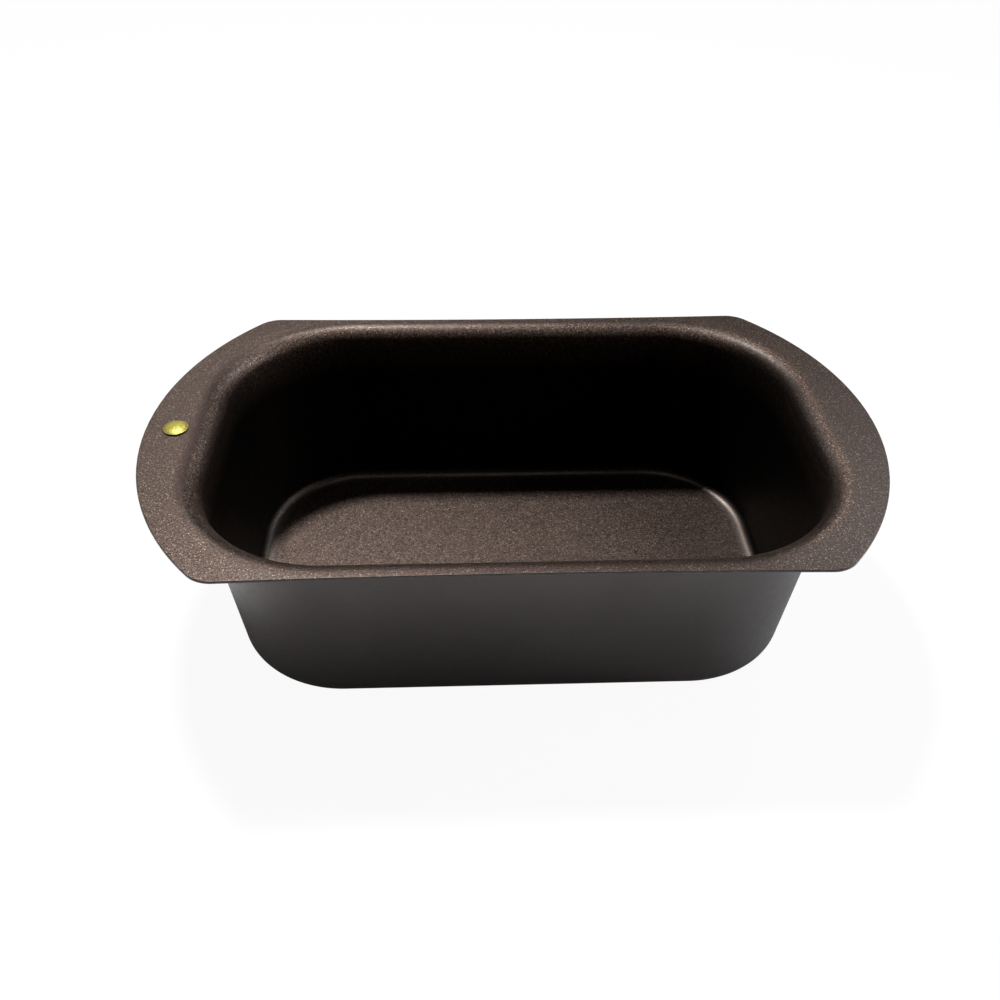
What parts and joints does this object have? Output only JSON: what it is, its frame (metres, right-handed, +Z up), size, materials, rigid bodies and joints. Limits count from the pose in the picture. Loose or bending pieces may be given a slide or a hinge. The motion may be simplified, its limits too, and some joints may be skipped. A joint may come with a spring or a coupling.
{
  "type": "loaf pan",
  "caption": "Deep rounded loaf pan pressed from coated sheet, with a flat wing-shaped handle at each end and a small domed brass button on one wing.",
  "frame": {"origin": "middle of the flat bottom, on the surface that the pan stands on", "axes": "+X along the length towards the wing without the button, +Y across the width, +Z up"},
  "size_m": [0.27, 0.1606, 0.0749],
  "materials": {
    "coated_steel": "satin brown-black non-stick coat with fine light metallic flecks, smoother on the outside",
    "cap_brass": "bright, lightly dimpled",
    "rivet_brass": "satin, slightly dulled"
  },
  "bodies": {
    "root": {"pan_shell": "coated_steel", "badge_cap": "cap_brass", "badge_rivet": "rivet_brass", "badge_washer": "rivet_brass"}
  },
  "joints": []
}
